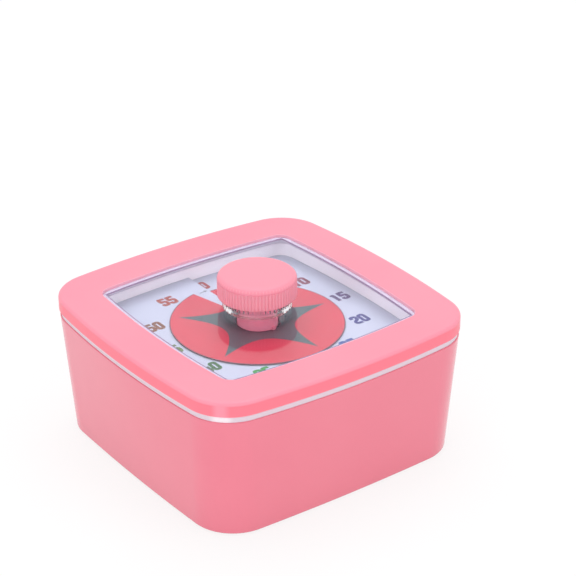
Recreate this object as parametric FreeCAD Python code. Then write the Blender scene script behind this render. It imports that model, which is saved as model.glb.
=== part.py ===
"""Visual countdown timer, lying on its back: +Z is the way the dial looks, +Y is 12 o'clock. Millimetres."""
import FreeCAD, Part
import math
import os

V = FreeCAD.Vector
UP = V(0, 0, 1)

os.makedirs("parts", exist_ok=True)

# ---- driving dimensions ----
# rear housing
body_half = 50.0            # axis to the middle of a side, at the housing's front edge
side_lean = 3.6             # how far each side leans in towards the back
side_bow = 317.0            # radius of the gentle bow of the sides, front and back
back_bow = 755.0
corner_radius = 14.7
back_corner_radius = 14.2
housing_height = 39.4
housing_wall = 2.2
floor_thickness = 3.0
back_edge_radius = 0.8
front_edge_radius = 0.3

# frame and bezel
seam_height = 2.05          # white line that shows between housing and bezel
seam_inset = 0.41
bezel_overhang = 0.27
bezel_height = 4.5
bezel_wall = 2.2
bezel_edge_radius = 0.95
window_edge_radius = 0.4
window_half = 37.02
window_bow = 330.0
window_corner = 4.3
well_half = 37.9            # white well round the dial
well_wall = 1.4
well_floor_thickness = 1.6
spigot_height = 3.0         # rim that centres the frame inside the housing
spigot_wall = 1.4
spigot_gap = 0.15

# lens
lens_recess = 0.75          # below the bezel's face
lens_thickness = 3.0
lens_flange_thickness = 1.05
lens_gap = 0.12
collar_radius = 10.65
collar_wall = 2.0
collar_height = 2.9
tube_radius = 8.4
tube_wall = 1.5

# dial and disc: two matching one-turn ramps
dial_depth = 4.4            # lens's underside down to the dial's face just clockwise of 12 o'clock
dial_thickness = 0.5
disc_thickness = 0.3
ramp_gap = 0.25             # between disc and dial, above and below
disc_radius = 27.1
disc_slit = 3.0             # degrees missing from the disc
dial_slit = 1.2             # degrees missing from the dial
leading_edge = 347.0        # degrees clockwise from 12 o'clock that show red
dial_rim = 1.2
dial_rim_gap = 0.1

# knob
cap_radius = 12.26
cap_height = 7.3
cap_edge_radius = 1.9
cap_wall = 1.8
rib_count = 72
rib_depth = 0.32
hub_radius = 6.36
hub_gap = 0.35              # hub to disc
collar_gap = 0.4            # collar to cap
key_width = 1.2
key_height = 0.8
key_gap = 0.3

# movement
movement_left = -27.6
movement_right = 30.2
movement_front = -14.9
movement_rear = 32.0
movement_height = 13.9
movement_wall = 1.4
movement_clearance = 1.0    # movement to the screw posts
nose_radius = 3.2
arbor_radius = 1.5
pivot_radius = 0.6
running_gap = 0.06
tooth_module = 0.4
wheel_thickness = 0.8
pinion_length = 1.6
layer_step = 2.85
first_layer_gap = 2.3       # underside of the movement to its lowest wheel
ear_radius = 3.0

# train: teeth of each wheel and of the pinion that drives it, and the bearing of each arbor from the next
centre_teeth = 64
third_teeth = 60
second_teeth = 50
first_teeth = 48
third_pinion_teeth = 8
second_pinion_teeth = 8
first_pinion_teeth = 10
rotor_pinion_teeth = 8
third_bearing = 150.0
second_bearing = 60.0
first_bearing = 0.0
rotor_bearing = -45.0

# motor
magnet_radius = 3.4
magnet_height = 3.0
stator_thickness = 1.0
coil_radius = 3.0
coil_x = 24.5

# battery and its bay
battery_radius = 7.25
battery_length = 50.5
nub_radius = 2.75
nub_length = 1.0
bay_wall = 1.6
bay_ceiling = 1.4
bay_side_gap = 1.15
bay_clearance = 0.9         # bay to movement
spring_length = 5.9
contact_thickness = 0.3
tab_offset = 2.0            # contact's tab behind the battery's axis
door_thickness = 2.0
door_gap = 0.3
door_lap = 1.4              # how far the door laps past the bay's mouth
hinge_pin_radius = 0.6
hinge_pin_length = 1.2

# board
board_half_x = 26.0
board_front = 4.0
board_rear = 32.0
board_bottom = 9.4
board_thickness = 1.2
board_screw_x = 22.5
board_screw_front = 8.0
board_screw_rear = 28.0
lead_pad = 1.6              # board's front edge to where the leads are soldered
switch_x = 10.0
switch_y = 20.0
switch_travel = 3.0
buzzer_x = -10.0
buzzer_y = 20.0
buzzer_radius = 6.0
buzzer_height = 5.5

# screws
case_screw_radius = 1.5
case_screw_length = 12.0
post_grip = 8.0             # post between the screw's head and the frame's boss
boss_height = 6.5
boss_radius = 3.6
post_radius = 4.4
post_inset = 8.2            # from the inside of the housing's wall
small_screw_radius = 1.1
small_screw_length = 4.6
board_screw_radius = 0.9
board_screw_length = 4.5
screw_fit = 0.05

# ---- worked out ----
base_half = body_half - side_lean
frame_half = body_half - seam_inset
bezel_half = body_half + bezel_overhang
bezel_bottom = housing_height + seam_height
bezel_top = bezel_bottom + bezel_height
lens_top = bezel_top - lens_recess
lens_bottom = lens_top - lens_thickness
flange_top = lens_bottom + lens_flange_thickness
flange_half = well_half + well_wall - dial_rim_gap
plug_half = window_half - lens_gap
dial_low = lens_bottom - dial_depth
ramp_pitch = 2 * ramp_gap + dial_thickness + disc_thickness
disc_low = dial_low - dial_thickness / 2 + ramp_pitch / 2 - disc_thickness / 2
disc_hidden_low = disc_low - ramp_pitch
well_floor = disc_hidden_low - ramp_gap - 0.2
frame_bottom = well_floor - well_floor_thickness
disc_highest = disc_low + disc_thickness + ramp_pitch
tube_bottom = disc_highest + 0.3
disc_bore = hub_radius + hub_gap
hole_radius = hub_radius + key_height + hub_gap
cap_bottom = lens_top + collar_height + collar_gap
cap_top = cap_bottom + cap_height
hub_bottom = well_floor + 0.3
hub_top = cap_top - cap_wall
movement_bottom = frame_bottom - movement_height
movement_floor = movement_bottom + movement_wall
cover_bottom = frame_bottom - movement_wall
first_layer = movement_bottom + first_layer_gap
post_top = frame_bottom - boss_height
case_screw_seat = post_top - post_grip
post_place = base_half - housing_wall - post_inset
bay_half_x = (battery_length + spring_length + 3 * contact_thickness) / 2
bay_half_y = battery_radius + bay_side_gap
battery_y = movement_front - bay_clearance - bay_wall - bay_half_y
battery_z = door_thickness + 0.8 + battery_radius
bay_top = battery_z + battery_radius + 0.5
tab_y = battery_y + tab_offset
door_half_x = bay_half_x + door_lap
door_rear = battery_y + bay_half_y + door_lap
door_front = battery_y - bay_half_y - door_lap
hinge_z = door_thickness / 2
hinge_y = door_front + hinge_z
board_top = board_bottom + board_thickness


def save(shape, node):
    shape.exportStep("parts/" + node + ".step")
    box = shape.BoundBox
    size = (round(box.XLength, 2), round(box.YLength, 2), round(box.ZLength, 2))
    print(node, "solids", len(shape.Solids), "size", size, "valid", shape.isValid())


def cylinder(radius, bottom, top, x=0.0, y=0.0):
    return Part.makeCylinder(radius, top - bottom, V(x, y, bottom), UP)


def tube(outer, inner, bottom, top, x=0.0, y=0.0):
    return cylinder(outer, bottom, top, x, y).cut(cylinder(inner, bottom, top, x, y))


def rod(radius, start, end):
    """A round bar between two points."""
    return Part.makeCylinder(radius, (end - start).Length, start, end - start)


def block(x0, x1, y0, y1, z0, z1):
    return Part.makeBox(x1 - x0, y1 - y0, z1 - z0, V(x0, y0, z0))


def quarter_turned(point, quarter, z):
    x, y = point
    for step in range(quarter):
        x, y = -y, x
    return V(x, y, z)


def outline(half, bow, corner, z):
    """A square with bowed sides and round corners: four side arcs and four tangent corner arcs."""
    centre = half - bow
    reach = bow - corner
    inset = (2 * centre + math.sqrt(4 * centre ** 2 - 8 * (centre ** 2 - reach ** 2))) / 4
    turn = math.atan2(inset, inset - centre)
    diagonal = inset + corner / math.sqrt(2)
    side_end = (centre + bow * math.cos(turn), bow * math.sin(turn))
    side_start = (side_end[0], -side_end[1])
    corner_end = (side_end[1], side_end[0])
    edges = []
    for quarter in range(4):
        points = [quarter_turned(p, quarter, z) for p in (side_start, (half, 0.0), side_end)]
        edges.append(Part.Arc(*points).toShape())
        points = [quarter_turned(p, quarter, z) for p in (side_end, (diagonal, diagonal), corner_end)]
        edges.append(Part.Arc(*points).toShape())
    return Part.Wire(edges)


def prism(half, bow, corner, bottom, top):
    face = Part.Face(outline(half, bow, corner, bottom))
    return face.extrude(V(0, 0, top - bottom))


def body_prism(inset, bottom, top):
    """The front outline, moved in by inset."""
    return prism(body_half - inset, side_bow - inset, corner_radius - inset, bottom, top)


def window_prism(outset, bottom, top):
    """The window's outline, moved out by outset."""
    return prism(window_half + outset, window_bow + outset, window_corner + outset, bottom, top)


def tapered(inset):
    """The housing's outside, moved in by inset, from the back face to the front edge."""
    back = outline(base_half - inset, back_bow - inset, back_corner_radius - inset, 0.0)
    front = outline(body_half - inset, side_bow - inset, corner_radius - inset, housing_height)
    return Part.makeLoft([back, front], True, True)


def four_corners(place):
    return [(x, y) for x in (-place, place) for y in (-place, place)]


def clockwise(angle, radius, z=0.0):
    """The point at an angle clockwise from 12 o'clock."""
    turn = math.radians(angle)
    return V(radius * math.sin(turn), radius * math.cos(turn), z)


def ramp(inner, outer, bottom, height, start, sweep):
    """A one-turn ramp that climbs clockwise: bottom is its height at 12 o'clock, angles in degrees."""
    first = bottom + ramp_pitch * start / 360.0
    helix = Part.makeHelix(ramp_pitch, ramp_pitch * sweep / 360.0, outer, 0, True)
    corners = [V(inner, 0, 0), V(outer, 0, 0), V(outer, 0, height), V(inner, 0, height)]
    section = Part.makePolygon(corners + corners[:1])
    solid = Part.Wire(helix.Edges).makePipeShell([section], True, True)
    solid = Part.Solid(solid.Shells[0]) if solid.ShapeType != "Solid" else solid
    if solid.Volume < 0:
        solid.reverse()
    solid.rotate(V(0, 0, 0), UP, 90.0 - start)
    solid.translate(V(0, 0, first))
    return solid


# ---- housing, frame, bezel, lens ----
ear_places = [(movement_left - ear_radius - 0.2, -8.0), (movement_left - ear_radius - 0.2, 22.0),
              (movement_right + ear_radius + 0.2, -8.0), (movement_right + ear_radius + 0.2, 22.0)]
board_screw_places = [(x, y) for x in (-board_screw_x, board_screw_x)
                      for y in (board_screw_front, board_screw_rear)]


def rear_housing():
    shell = tapered(0.0)
    back_edges = [e for e in shell.Edges if e.BoundBox.ZMax < 0.01]
    shell = shell.makeFillet(back_edge_radius, back_edges)
    front_edges = [e for e in shell.Edges if e.BoundBox.ZMin > housing_height - 0.01]
    shell = shell.makeFillet(front_edge_radius, front_edges)
    below_floor = block(-body_half, body_half, -body_half, body_half, -1, floor_thickness)
    hollow = tapered(housing_wall).cut(below_floor)
    shell = shell.cut(hollow)
    added = []
    for x, y in four_corners(post_place):
        added.append(cylinder(post_radius, floor_thickness - 0.5, post_top, x, y))
    for x, y in board_screw_places:
        added.append(cylinder(2.4, floor_thickness - 0.5, board_bottom, x, y))
    bay = block(-bay_half_x - bay_wall, bay_half_x + bay_wall, battery_y - bay_half_y - bay_wall,
                battery_y + bay_half_y + bay_wall, floor_thickness - 0.5, bay_top + bay_ceiling)
    added.append(bay)
    shell = shell.fuse(added)
    removed = []
    for x, y in four_corners(post_place):
        removed.append(cylinder(3.1, -1, case_screw_seat, x, y))
        removed.append(cylinder(case_screw_radius + 0.2, -1, post_top + 1, x, y))
    for x, y in board_screw_places:
        removed.append(cylinder(board_screw_radius + screw_fit, board_bottom - 4.0, board_bottom + 1, x, y))
    bay_front, bay_rear = battery_y - bay_half_y, battery_y + bay_half_y
    removed.append(block(-bay_half_x, bay_half_x, bay_front, bay_rear, -1, bay_top))
    removed.append(block(-door_half_x - door_gap, door_half_x + door_gap, door_front - door_gap,
                         door_rear + door_gap, -1, door_thickness + 0.2))
    removed.append(block(-6, 6, door_rear, door_rear + 1.8, -1, 1.2))
    pin_reach = door_half_x + hinge_pin_length + 0.2
    pin_start, pin_end = V(-pin_reach, hinge_y, hinge_z), V(pin_reach, hinge_y, hinge_z)
    removed.append(rod(hinge_pin_radius + running_gap, pin_start, pin_end))
    for side in (-1, 1):
        wall = side * (bay_half_x + bay_wall / 2)
        removed.append(block(wall - bay_wall, wall + bay_wall, tab_y - 1.5, tab_y + 1.5,
                             battery_z + 3.0, battery_z + 4.0))
    slot = switch_travel / 2 + 1.3 + 0.4
    removed.append(block(switch_x - slot, switch_x + slot, switch_y - 1.5, switch_y + 1.5,
                         -1, floor_thickness + 1))
    removed.append(block(switch_x - 7, switch_x + 7, switch_y - 4, switch_y + 4, -1, 1.4))
    for hole in range(7):
        reach = 0.0 if hole == 0 else 3.0
        x = buzzer_x + reach * math.cos(hole * math.pi / 3)
        y = buzzer_y + reach * math.sin(hole * math.pi / 3)
        removed.append(cylinder(0.8, -1, floor_thickness + 1, x, y))
    return shell.cut(removed)


def mid_frame():
    spigot_outer = side_lean * spigot_height / housing_height + housing_wall + spigot_gap
    added = [window_prism(well_half + well_wall - window_half, frame_bottom, lens_bottom)]
    spigot = body_prism(spigot_outer, housing_height - spigot_height, housing_height)
    added.append(spigot.cut(body_prism(spigot_outer + spigot_wall, 0, bezel_top)))
    boss_places = four_corners(post_place)
    for x, y in boss_places:
        added.append(cylinder(boss_radius, post_top, housing_height + 0.5, x, y))
    for x, y in ear_places:
        added.append(cylinder(ear_radius, frame_bottom - ear_radius, frame_bottom + 0.5, x, y))
    frame = body_prism(seam_inset, housing_height, bezel_bottom).fuse(added)
    removed = [window_prism(well_half - window_half, well_floor, bezel_top)]
    removed.append(cylinder(nose_radius + 0.3, 0, bezel_top))
    for x, y in boss_places:
        screw_end = case_screw_seat + case_screw_length
        removed.append(cylinder(case_screw_radius + screw_fit, post_top - 1, screw_end + 1, x, y))
    for x, y in ear_places:
        screw_end = frame_bottom - ear_radius - movement_wall + small_screw_length
        hole_start = frame_bottom - ear_radius - 1
        removed.append(cylinder(small_screw_radius + screw_fit, hole_start, screw_end + 0.3, x, y))
    return frame.cut(removed)


def front_bezel():
    outer_bow, outer_corner = side_bow + bezel_overhang, corner_radius + bezel_overhang
    block_out = prism(bezel_half, outer_bow, outer_corner, bezel_bottom, bezel_top)
    rim = [e for e in block_out.Edges if e.BoundBox.ZMin > bezel_top - 0.01]
    bezel = block_out.makeFillet(bezel_edge_radius, rim)
    bezel = bezel.cut(window_prism(0.0, 0, bezel_top + 1))
    reach = window_half + 0.1
    rim = [e for e in bezel.Edges if e.BoundBox.ZMin > bezel_top - 0.01
           and e.BoundBox.XMax < reach and e.BoundBox.XMin > -reach
           and abs(e.BoundBox.YMax) < reach and abs(e.BoundBox.YMin) < reach]
    bezel = bezel.makeFillet(window_edge_radius, rim)
    pocket = well_half + well_wall - window_half + 0.2
    bezel = bezel.cut(window_prism(pocket, 0, flange_top + 0.1))
    hollow = body_prism(bezel_wall, 0, bezel_top - bezel_wall)
    hollow = hollow.cut(window_prism(pocket + bezel_wall, 0, bezel_top))
    return bezel.cut(hollow)


def lens():
    pane = window_prism(-lens_gap, lens_bottom, lens_top)
    pane = pane.fuse([window_prism(flange_half - window_half, lens_bottom, flange_top),
                      cylinder(collar_radius, lens_bottom, lens_top + collar_height),
                      cylinder(tube_radius, tube_bottom, lens_top)])
    bore = cylinder(tube_radius - tube_wall, 0, cap_top)
    return pane.cut([bore, cylinder(collar_radius - collar_wall, lens_top, cap_top)])


# ---- dial, disc and knob ----
def dial_plate():
    sweep = 360.0 - dial_slit
    reach = 1.5 * well_half
    inside = window_prism(well_half - dial_rim_gap - window_half, 0, lens_top)
    sheet = ramp(hole_radius, reach, dial_low - dial_thickness, dial_thickness, dial_slit / 2, sweep)
    sheet = sheet.common(inside)
    rim_depth = 2 * ramp_pitch + dial_thickness
    rim_height = rim_depth - dial_thickness / 2
    rim = ramp(disc_radius + 3.0, reach, dial_low - rim_depth, rim_height, dial_slit / 2, sweep)
    ring = window_prism(well_half - dial_rim_gap - window_half, well_floor, lens_top)
    ring = ring.cut(window_prism(well_half - dial_rim_gap - dial_rim - window_half, 0, lens_top))
    return sheet.fuse(rim.common(ring))


def time_disc():
    width = 360.0 - disc_slit
    disc = ramp(disc_bore, disc_radius, disc_low, disc_thickness, leading_edge - width, width)
    return disc.cut(key_block(key_gap))


def key_block(gap):
    """The key on the hub, opposite the disc's slit, or its notch when gap is more than 0."""
    half = key_width / 2 + gap
    key = block(-half, half, 0, hub_radius + key_height + gap, hub_bottom, tube_bottom - 0.35 + gap)
    key.rotate(V(0, 0, 0), UP, -(leading_edge + disc_slit / 2 - 180.0))
    return key


def knob_hub():
    hub = cylinder(hub_radius, hub_bottom, hub_top).fuse(key_block(0.0))
    return hub.cut(cylinder(arbor_radius + screw_fit, 0, hub_top - 3.0))


def knob_cap():
    rib_top = cap_top - cap_edge_radius
    points = []
    for rib in range(rib_count):
        for share, radius in ((0.0, cap_radius - rib_depth), (0.25, cap_radius - rib_depth),
                              (0.45, cap_radius), (0.8, cap_radius)):
            turn = 2 * math.pi * (rib + share) / rib_count
            points.append(V(radius * math.cos(turn), radius * math.sin(turn), cap_bottom))
    ribbed = Part.Face(Part.makePolygon(points + points[:1])).extrude(V(0, 0, rib_top - cap_bottom))
    dome = cylinder(cap_radius, rib_top, cap_top)
    rim = [e for e in dome.Edges if e.BoundBox.ZMin > cap_top - 0.01]
    dome = dome.makeFillet(cap_edge_radius * 0.9, rim)
    cap = ribbed.fuse(dome)
    recess = cylinder(cap_radius - rib_depth - cap_wall, 0, cap_top - 2 * cap_wall)
    recess = recess.cut(cylinder(hub_radius + cap_wall, 0, cap_top))
    return cap.cut(recess).cut(cylinder(hub_radius, 0, hub_top))


def centre_arbor():
    collar_bottom = layer(4) - 1.1
    added = [cylinder(2.6, collar_bottom, layer(4) - 0.1)]
    added.append(cylinder(arbor_radius, movement_floor + 0.2, hub_top - 3.5))
    return cylinder(arbor_radius - 0.4, movement_bottom + 0.3, movement_floor + 0.4).fuse(added)


def clutch_washer():
    bottom = layer(4) + wheel_thickness + 0.1
    return tube(2.6, arbor_radius + 0.02, bottom, bottom + 0.3)


# ---- movement ----
def layer(number):
    return first_layer + (number - 1) * layer_step


def mesh_distance(wheel_teeth, pinion_teeth):
    return tooth_module * (wheel_teeth + pinion_teeth) / 2


def next_arbor(place, bearing, distance):
    turn = math.radians(bearing)
    return (place[0] + distance * math.cos(turn), place[1] + distance * math.sin(turn))


centre_place = (0.0, 0.0)
third_place = next_arbor(centre_place, third_bearing, mesh_distance(centre_teeth, third_pinion_teeth))
second_place = next_arbor(third_place, second_bearing, mesh_distance(third_teeth, second_pinion_teeth))
first_place = next_arbor(second_place, first_bearing, mesh_distance(second_teeth, first_pinion_teeth))
rotor_place = next_arbor(first_place, rotor_bearing, mesh_distance(first_teeth, rotor_pinion_teeth))
pivot_places = [third_place, second_place, first_place, rotor_place]


def gear(teeth, bottom, height, place, facing, tooth_there):
    """A gear with a tooth, or a gap, on the line that leaves its axis at the angle facing (degrees)."""
    pitch_radius = tooth_module * teeth / 2
    tip = pitch_radius + 0.65 * tooth_module
    root = pitch_radius - 1.25 * tooth_module
    pitch = 2 * math.pi / teeth
    start = math.radians(facing) + (0.0 if tooth_there else pitch / 2)
    points = []
    for tooth in range(teeth):
        for share, radius in ((-0.26, root), (-0.1, tip), (0.1, tip), (0.26, root)):
            turn = start + (tooth + share) * pitch
            points.append(V(place[0] + radius * math.cos(turn), place[1] + radius * math.sin(turn), bottom))
    return Part.Face(Part.makePolygon(points + points[:1])).extrude(V(0, 0, height))


def wheel_and_pinion(teeth, pinion_teeth, number, place, driver_bearing, driven_bearing):
    """A wheel in one layer, its pinion in the next one up, and their arbor with a pivot at each end."""
    wheel = gear(teeth, layer(number), wheel_thickness, place, driver_bearing, False)
    pinion_bottom = layer(number + 1) - 0.4
    pinion = gear(pinion_teeth, pinion_bottom, pinion_length, place, driven_bearing, True)
    sleeve = cylinder(1.1, layer(number), pinion_bottom + pinion_length, *place)
    arbor = cylinder(pivot_radius, movement_bottom + 0.3, frame_bottom - 0.3, *place)
    windows = []
    reach = tooth_module * teeth / 2
    for spoke in range(5):
        turn = 2 * math.pi * spoke / 5
        x = place[0] + 0.56 * reach * math.cos(turn)
        y = place[1] + 0.56 * reach * math.sin(turn)
        windows.append(cylinder(0.22 * reach, 0, frame_bottom, x, y))
    return wheel.cut(windows).fuse([pinion, sleeve, arbor])


def centre_wheel():
    wheel = gear(centre_teeth, layer(4), wheel_thickness, centre_place, third_bearing, False)
    windows = []
    for spoke in range(5):
        x, y, z = clockwise(72.0 * spoke, 7.4)
        windows.append(cylinder(2.8, 0, frame_bottom, x, y))
    return wheel.cut(windows + [cylinder(arbor_radius + running_gap, 0, frame_bottom)])


def rotor():
    pinion_bottom = layer(1) - 0.4
    pinion = gear(rotor_pinion_teeth, pinion_bottom, pinion_length, rotor_place, rotor_bearing + 180.0, True)
    magnet_bottom = stator_bottom - (magnet_height - stator_thickness) / 2
    magnet = cylinder(magnet_radius, magnet_bottom, magnet_bottom + magnet_height, *rotor_place)
    arbor = cylinder(pivot_radius, movement_bottom + 0.3, frame_bottom - 0.3, *rotor_place)
    return pinion.fuse([magnet, arbor])


stator_bottom = layer(3) - 0.4
core_front = movement_front + movement_wall + 1.5
core_rear = rotor_place[1] + 5.4
stator_left = rotor_place[0] - 4.75
stator_right = rotor_place[0] + 4.75
arm_width = 4.0


def stator():
    top = stator_bottom + stator_thickness
    plate = block(stator_left, stator_right, core_front, core_rear, stator_bottom, top)
    front_arm = block(stator_left, coil_x + 2.5, core_front, core_front + arm_width, stator_bottom, top)
    rear_arm = block(stator_left, coil_x + 2.5, core_rear - arm_width, core_rear, stator_bottom, top)
    core = block(coil_x - 1.5, coil_x + 1.5, core_front, core_rear, top, top + stator_thickness)
    whole = plate.fuse([front_arm, rear_arm, core])
    return whole.cut(cylinder(magnet_radius + 0.6, 0, frame_bottom, *rotor_place))


def motor_coil():
    height = stator_bottom + 1.5 * stator_thickness
    front = core_front + arm_width + 1.0
    rear = core_rear - arm_width - 1.0
    winding = rod(coil_radius, V(coil_x, front, height), V(coil_x, rear, height))
    flanges = [rod(coil_radius + 0.2, V(coil_x, y, height), V(coil_x, y + 0.6, height))
               for y in (front, rear - 0.6)]
    window = block(coil_x - 1.55, coil_x + 1.55, front - 1, rear + 1, stator_bottom + stator_thickness - 0.05,
                   stator_bottom + 2 * stator_thickness + 0.05)
    return winding.fuse(flanges).cut(window)


stator_post_places = [(stator_left + 3.0, core_front + 2.0), (coil_x, core_rear - 2.0)]
motor_lead_places = [(coil_x - 1.0, core_rear - arm_width - 1.3), (coil_x + 1.0, core_rear - arm_width - 1.3)]


def movement_block(inset, bottom, top):
    """The movement's outside, moved in by inset and kept clear of the screw posts."""
    whole = block(movement_left + inset, movement_right - inset,
                  movement_front + inset, movement_rear - inset, bottom, top)
    clear = post_radius + movement_clearance + inset
    return whole.cut([cylinder(clear, bottom, top, x, y) for x, y in four_corners(post_place)])


def movement_base():
    outside = movement_block(0.0, movement_bottom, cover_bottom)
    inside = movement_block(movement_wall, movement_floor, frame_bottom)
    base = outside.cut(inside)
    added = [cylinder(1.4, movement_floor - 0.2, stator_bottom, x, y) for x, y in stator_post_places]
    ear_top = frame_bottom - ear_radius
    for x, y in ear_places:
        added.append(cylinder(ear_radius, ear_top - movement_wall, ear_top, x, y))
        inner = movement_left if x < 0 else movement_right
        added.append(block(min(x, inner), max(x, inner), y - 2.0, y + 2.0, ear_top - movement_wall, ear_top))
    base = base.fuse(added)
    removed = [cylinder(arbor_radius - 0.4 + running_gap, 0, movement_floor + 1)]
    removed += [cylinder(pivot_radius + running_gap, 0, movement_floor + 1, *place) for place in pivot_places]
    removed += [cylinder(small_screw_radius + 0.15, 0, frame_bottom, x, y) for x, y in ear_places]
    removed += [cylinder(0.8, 0, movement_floor + 1, x, y) for x, y in motor_lead_places]
    return base.cut(removed)


def movement_cover():
    plate = movement_block(0.0, cover_bottom, frame_bottom)
    cover = plate.fuse(cylinder(nose_radius, cover_bottom, hub_bottom - 0.3))
    removed = [cylinder(arbor_radius + running_gap, 0, frame_bottom + 9)]
    removed += [cylinder(pivot_radius + running_gap, 0, frame_bottom + 1, *place) for place in pivot_places]
    return cover.cut(removed)


def screw(radius, length, head_radius, head_height, seat, x, y, direction):
    """Pan-head screw: its head's face at the height seat, its shank running in direction (1 up, -1 down)."""
    if direction > 0:
        shank = cylinder(radius, seat, seat + length, x, y)
        head = cylinder(head_radius, seat - head_height, seat, x, y)
        slot = cylinder(head_radius * 0.35, seat - head_height - 1, seat - head_height * 0.5, x, y)
    else:
        shank = cylinder(radius, seat - length, seat, x, y)
        head = cylinder(head_radius, seat, seat + head_height, x, y)
        slot = cylinder(head_radius * 0.35, seat + head_height * 0.5, seat + head_height + 1, x, y)
    return shank.fuse(head).cut(slot)


def case_screws():
    return Part.Compound([screw(case_screw_radius, case_screw_length, 2.8, 1.8, case_screw_seat, x, y, 1)
                          for x, y in four_corners(post_place)])


def movement_screws():
    seat = frame_bottom - ear_radius - movement_wall
    return Part.Compound([screw(small_screw_radius, small_screw_length, 2.0, 1.3, seat, x, y, 1)
                          for x, y in ear_places])


def board_screws():
    return Part.Compound([screw(board_screw_radius, board_screw_length, 1.7, 1.0, board_top, x, y, -1)
                          for x, y in board_screw_places])


# ---- battery, door and board ----
battery_tip = bay_half_x - contact_thickness - 0.1


def battery():
    end = battery_tip - battery_length
    can = rod(battery_radius, V(end, battery_y, battery_z), V(battery_tip - nub_length, battery_y, battery_z))
    nub_start = V(battery_tip - nub_length - 0.5, battery_y, battery_z)
    nub = rod(nub_radius, nub_start, V(battery_tip, battery_y, battery_z))
    rims = [e for e in can.Edges if e.BoundBox.XLength < 0.01]
    return can.makeFillet(0.6, rims).fuse(nub)


def contact_plate(side):
    wall = side * bay_half_x
    inner = wall - side * contact_thickness
    outer = wall + side * (bay_wall + 1.8)
    plate = block(min(wall, inner), max(wall, inner), battery_y - 4.5, battery_y + 4.5,
                  battery_z - 5.0, battery_z + 4.5)
    tab = block(min(inner, outer), max(inner, outer), tab_y - 1.2, tab_y + 1.2,
                battery_z + 3.35, battery_z + 3.65)
    return plate.fuse(tab)


def battery_contact():
    return contact_plate(1)


def battery_spring():
    wire_radius = 0.4
    start = -bay_half_x + contact_thickness
    seat = 0.2                  # the last turn is soldered this deep into the plate
    length = battery_tip - battery_length - start - 0.1 - 2 * wire_radius + seat
    helix = Part.makeHelix(length / 3.0, length, 4.0, -15.0)
    section = Part.Wire(Part.makeCircle(wire_radius, V(4.0, 0, 0), V(0, 1, 0)))
    coil = Part.Wire(helix.Edges).makePipeShell([section], True, True)
    coil.rotate(V(0, 0, 0), V(0, 1, 0), 90)
    coil.translate(V(start + wire_radius - seat, battery_y, battery_z))
    return contact_plate(-1).fuse(coil)


def lead(points, radius):
    """An insulated wire: straight runs joined by tangent arcs."""
    edges = []
    start = points[0]
    for before, here, after in zip(points, points[1:], points[2:]):
        run_in = (here - before).Length
        run_out = (after - here).Length
        into = (before - here).normalize()
        away = (after - here).normalize()
        turn = math.pi - into.getAngle(away)
        bend = 0.45 * min(run_in, run_out) / math.tan(turn / 2)
        tangent = bend * math.tan(turn / 2)
        first = here + into * tangent
        last = here + away * tangent
        inward = (into + away).normalize()
        middle = here + inward * (bend / math.cos(turn / 2) - bend)
        edges.append(Part.LineSegment(start, first).toShape())
        edges.append(Part.Arc(first, middle, last).toShape())
        start = last
    edges.append(Part.LineSegment(start, points[-1]).toShape())
    path = Part.Wire(edges)
    heading = points[1] - points[0]
    section = Part.Wire(Part.makeCircle(radius, points[0], heading))
    return path.makePipeShell([section], True, True)


def battery_leads():
    leads = []
    for side in (-1, 1):
        tab_end = side * (bay_half_x + bay_wall + 1.2)
        far = side * (board_half_x + 5.0)
        near = side * (board_half_x + 2.0)
        pad = side * (board_half_x - 4.0)
        points = [V(tab_end, tab_y, battery_z + 4.3), V(tab_end + side * 0.6, tab_y + 7.0, battery_z + 4.1),
                  V(far, board_front - 11.0, battery_z + 3.0), V(near, board_front - 2.0, board_top + 2.2),
                  V(pad, board_front + lead_pad, board_top + 0.75)]
        leads.append(lead(points, 0.6))
    return Part.Compound(leads)


def motor_leads():
    top = stator_bottom + 1.5 * stator_thickness - coil_radius - 0.25
    return Part.Compound([cylinder(0.45, board_top, top, x, y) for x, y in motor_lead_places])


def battery_door():
    panel = block(-door_half_x, door_half_x, hinge_y, door_rear, 0, door_thickness)
    knuckle = rod(hinge_z, V(-door_half_x, hinge_y, hinge_z), V(door_half_x, hinge_y, hinge_z))
    reach = door_half_x + hinge_pin_length
    pin = rod(hinge_pin_radius, V(-reach, hinge_y, hinge_z), V(reach, hinge_y, hinge_z))
    tongue_rear = battery_y + bay_half_y - 0.8
    tongue = block(-5, 5, tongue_rear - 1.0, tongue_rear, door_thickness - 0.5, door_thickness + 2.6)
    return panel.fuse([knuckle, pin, tongue])


def circuit_board():
    board = block(-board_half_x, board_half_x, board_front, board_rear, board_bottom, board_top)
    holes = [cylinder(board_screw_radius + 0.15, 0, frame_bottom, x, y) for x, y in board_screw_places]
    return board.cut(holes)


def timer_chip():
    body = block(-3.0, 3.0, 12.0, 17.0, board_top + 0.15, board_top + 1.6)
    legs = [block(-4.2, 4.2, 12.6 + 1.2 * leg, 13.0 + 1.2 * leg, board_top, board_top + 0.6)
            for leg in range(4)]
    return body.fuse(legs)


def quartz_crystal():
    return rod(1.0, V(-16, 12, board_top + 1.02), V(-10, 12, board_top + 1.02))


def capacitor():
    can = cylinder(2.5, board_top, board_top + 5.5, 12.0, 11.0)
    return can.makeFillet(0.4, [e for e in can.Edges if e.BoundBox.ZMin > board_top + 5.4])


def buzzer():
    can = cylinder(buzzer_radius, board_bottom - buzzer_height, board_bottom, buzzer_x, buzzer_y)
    return can.cut(cylinder(1.0, 0, board_bottom - buzzer_height + 1.2, buzzer_x, buzzer_y))


switch_half_x = 5.6
switch_half_y = 2.7
switch_bottom = board_bottom - 4.6
lever_half = 1.3


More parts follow.
